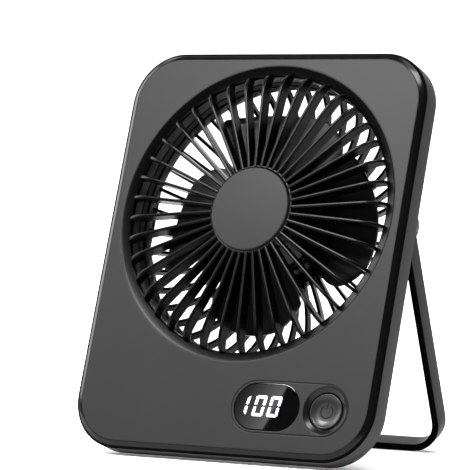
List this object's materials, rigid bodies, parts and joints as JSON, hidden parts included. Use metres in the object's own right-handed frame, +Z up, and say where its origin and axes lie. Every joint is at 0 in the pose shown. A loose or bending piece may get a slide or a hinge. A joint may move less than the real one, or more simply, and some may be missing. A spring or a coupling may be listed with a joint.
{
  "type": "desk fan",
  "caption": "Flat rectangular battery desk fan with a round radial-rib grille, a display window, a push button and a folding U-shaped stand.",
  "frame": {"origin": "on the table, under the middle of the whole fan's box, with the stand open", "axes": "+X to the right seen from the front, +Y from the front towards the back, +Z up"},
  "size_m": [0.1516, 0.09, 0.1794],
  "materials": {
    "cover_grey": "fine satin texture",
    "rear_grey": "fine satin texture",
    "trim_black": "polished chamfer",
    "duct_black": "satin",
    "grille_black": "satin",
    "cap_grey": "fine satin texture",
    "window_black": "polished",
    "display_white": "lit segments",
    "button_black": "semi-gloss",
    "impeller_black": "semi-gloss",
    "stand_grey": "satin",
    "washer_black": "matte",
    "steel": "turned",
    "magnet_dark": "ground",
    "copper": "enamelled copper wire",
    "board_green": "solder mask",
    "battery_foil": "crimped foil pouch"
  },
  "bodies": {
    "housing": {"front_cover": "cover_grey", "edge_trim": "trim_black", "side_frame": "cover_grey", "rear_cover": "rear_grey", "duct_ring": "duct_black", "front_grille": "grille_black", "grille_cap": "cap_grey", "rear_grille": "grille_black", "display_window": "window_black", "display_module": "display_white", "tact_switch": "steel", "main_board": "board_green", "usb_socket": "steel", "battery_pack": "battery_foil", "motor_base": "duct_black", "motor_board": "board_green", "stator_core": "steel", "front_bearing": "steel", "rear_bearing": "steel", "hinge_pin_left": "steel", "hinge_pin_right": "steel", "friction_washer_left": "washer_black", "friction_washer_right": "washer_black", "cover_screw_1": "steel", "cover_screw_2": "steel", "cover_screw_3": "steel", "cover_screw_4": "steel", "board_screw_1": "steel", "board_screw_2": "steel", "motor_screw_1": "steel", "motor_screw_2": "steel", "motor_screw_3": "steel", "stator_coil_1": "copper", "stator_coil_2": "copper", "stator_coil_3": "copper", "stator_coil_4": "copper", "stator_coil_5": "copper", "stator_coil_6": "copper"},
    "rotor": {"impeller": "impeller_black", "rotor_bell": "steel", "magnet_ring": "magnet_dark", "motor_shaft": "steel", "shaft_clip": "steel"},
    "button": {"power_button": "button_black"},
    "stand": {"stand_bail": "stand_grey"}
  },
  "joints": [
    {"name": "impeller_spin", "type": "hinge", "parent": "housing", "child": "rotor", "pos_m": [0, -0.00828, 0.10885], "axis": [0, 0.9409, -0.3387], "continuous": true},
    {"name": "power_button_press", "type": "slide", "parent": "housing", "child": "button", "axis": [0, 0.9409, -0.3387], "range_m": [0, 0.0005], "stiffness_N_per_m": 1500},
    {"name": "stand_fold", "type": "hinge", "parent": "housing", "child": "stand", "pos_m": [0, 0.00743, 0.10378], "axis": [1, 0, 0], "range_deg": [-39.6, 50.4]}
  ]
}
